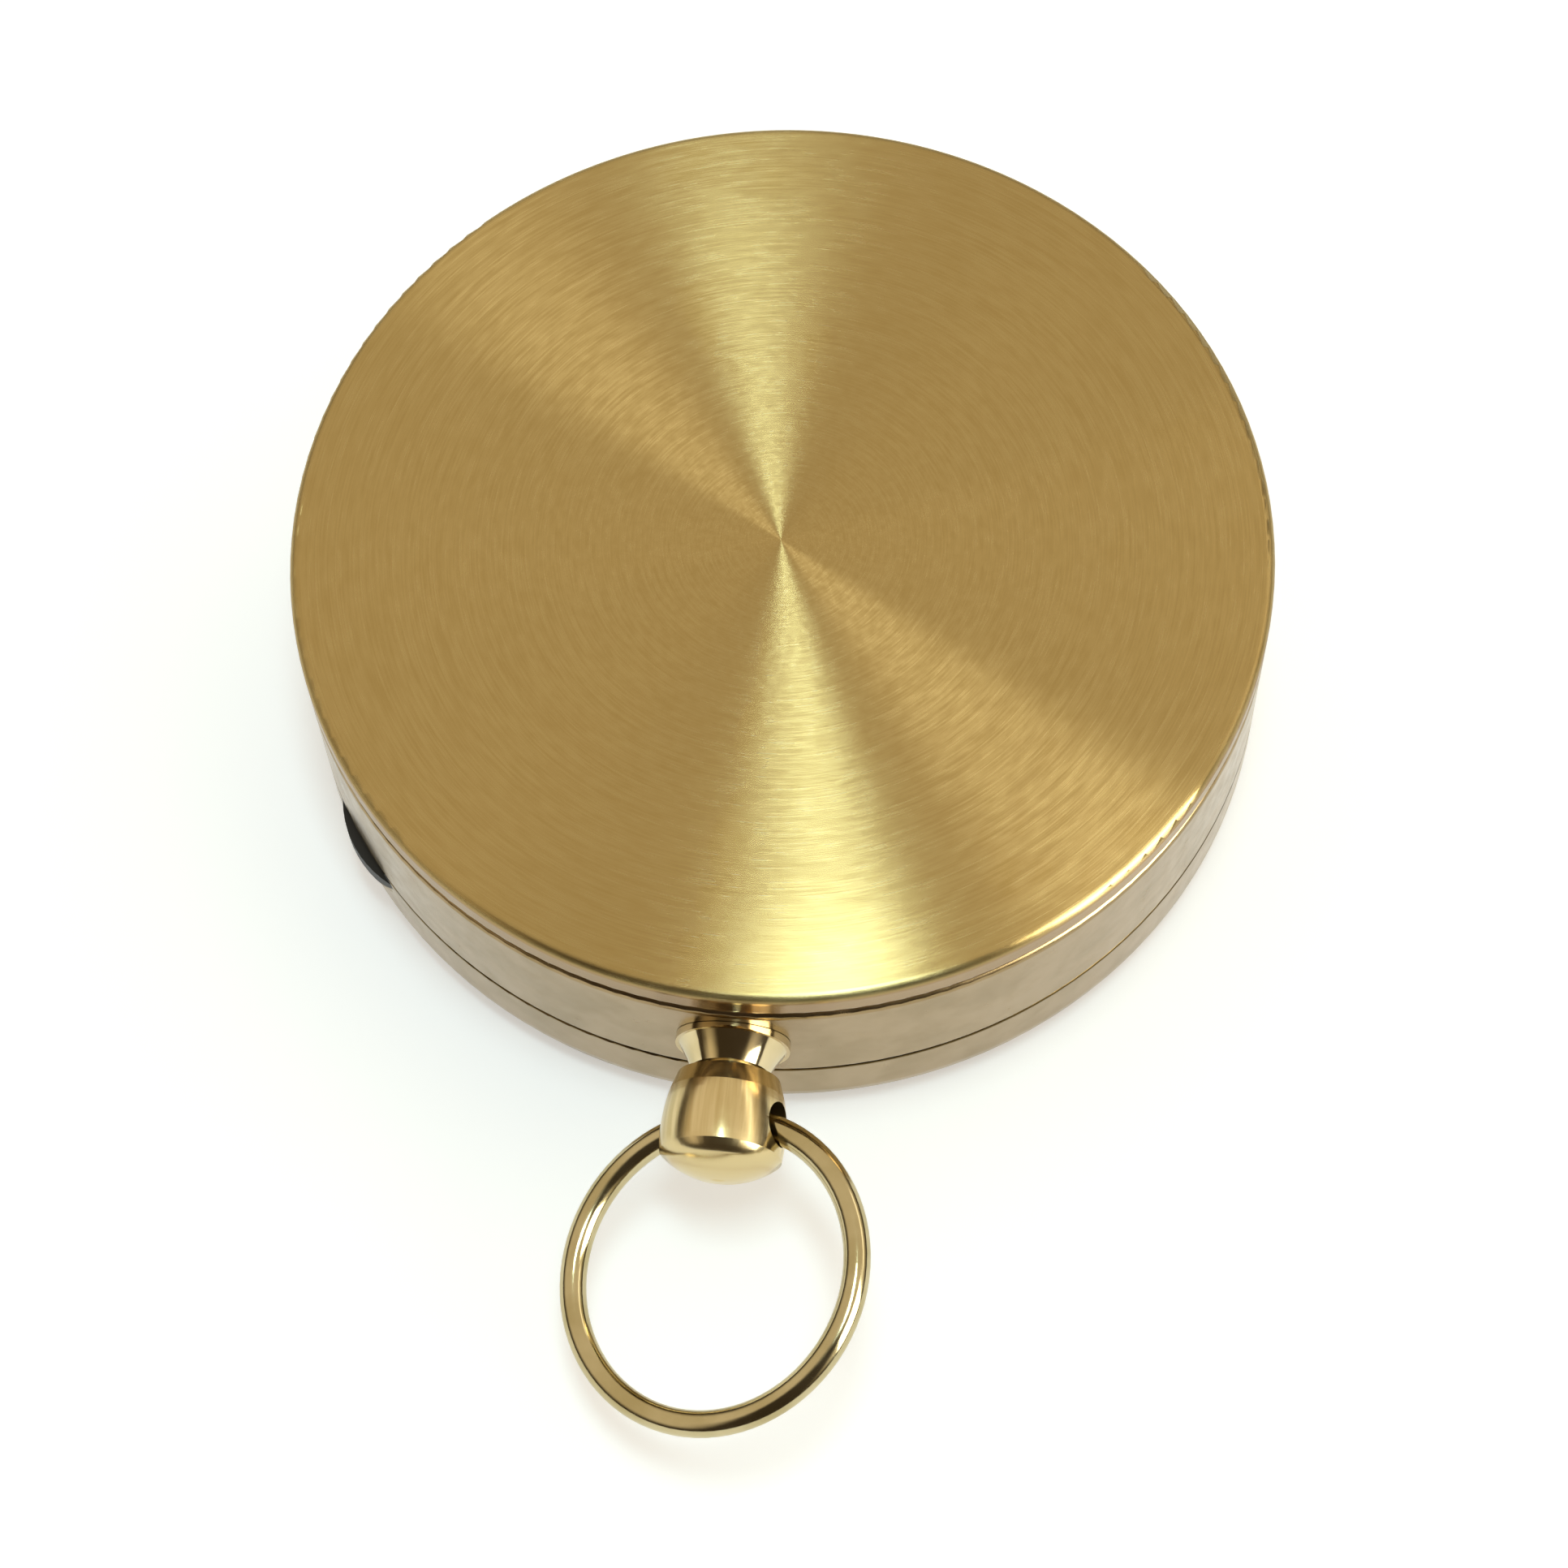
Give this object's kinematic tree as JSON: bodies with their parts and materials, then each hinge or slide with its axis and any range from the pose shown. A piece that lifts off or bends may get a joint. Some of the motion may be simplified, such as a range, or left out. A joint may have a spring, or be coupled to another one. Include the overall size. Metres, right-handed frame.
{
  "type": "pocket compass",
  "caption": "Round brass pocket compass in a hinged hunter case: press crown frees the lid, a bow ring swivels and swings, and a needle turns over the dial.",
  "frame": {"origin": "centre of the flat back, on the surface that the closed case lies on", "axes": "+Z out through the lid, the stem, crown and bow point to -Y, and the lid's hinge is at +Y"},
  "size_m": [0.045, 0.0633, 0.0134],
  "materials": {
    "brushed_brass": "spun brushed brass with circular brushing, lacquered",
    "polished_brass": "bright polished brass",
    "inner_brass": "plain turned brass",
    "spring_steel": "tempered bright steel",
    "holder_plastic": "moulded, matt",
    "dial_face": "printed off-white enamel",
    "gasket_rubber": "moulded",
    "crystal_glass": "clear, polished",
    "needle_enamel": "red half and white half over steel",
    "jewel_red": "polished jewel"
  },
  "bodies": {
    "case": {"back_cover": "polished_brass", "case_band": "polished_brass", "pendant_collar": "polished_brass", "hinge_case_knuckles": "inner_brass", "hinge_pin": "spring_steel", "catch_spring": "spring_steel", "lift_spring": "spring_steel", "spring_screws": "spring_steel", "holder_ring": "holder_plastic", "capsule_cup": "inner_brass", "dial_plate": "dial_face", "pivot_post": "spring_steel", "crystal_gasket": "gasket_rubber", "crystal": "crystal_glass", "crystal_bezel": "inner_brass"},
    "lid": {"lid_shell": "brushed_brass", "lid_catch_ring": "inner_brass", "hinge_lid_knuckle": "inner_brass"},
    "press": {"push_cap": "spring_steel"},
    "crown_stem": {"crown": "polished_brass", "push_stem": "spring_steel", "stem_clip": "spring_steel"},
    "bow": {"bow_ring": "polished_brass"},
    "needle": {"needle_blade": "needle_enamel", "needle_cap": "inner_brass", "needle_jewel": "jewel_red"}
  },
  "joints": [
    {"name": "lid_hinge", "type": "hinge", "parent": "case", "child": "lid", "pos_m": [0, 0.0222, 0.01095], "axis": [-1, 0, 0], "range_deg": [0, 110], "deforming": ["catch_spring", "lift_spring"]},
    {"name": "button_press", "type": "slide", "parent": "case", "child": "press", "axis": [0, 1, 0], "range_m": [0, 0.0005], "stiffness_N_per_m": 4000, "springref_m": -0.0005, "deforming": ["catch_spring"]},
    {"name": "crown_swivel", "type": "hinge", "parent": "press", "child": "crown_stem", "pos_m": [0, -0.0265, 0.00805], "axis": [0, -1, 0], "continuous": true},
    {"name": "bow_swing", "type": "hinge", "parent": "crown_stem", "child": "bow", "pos_m": [0, -0.0265, 0.00805], "axis": [0.9336, 0, 0.3584], "range_deg": [-115, 105]},
    {"name": "needle_spin", "type": "hinge", "parent": "case", "child": "needle", "pos_m": [0, 0, 0.0093], "axis": [0, 0, 1], "continuous": true}
  ]
}
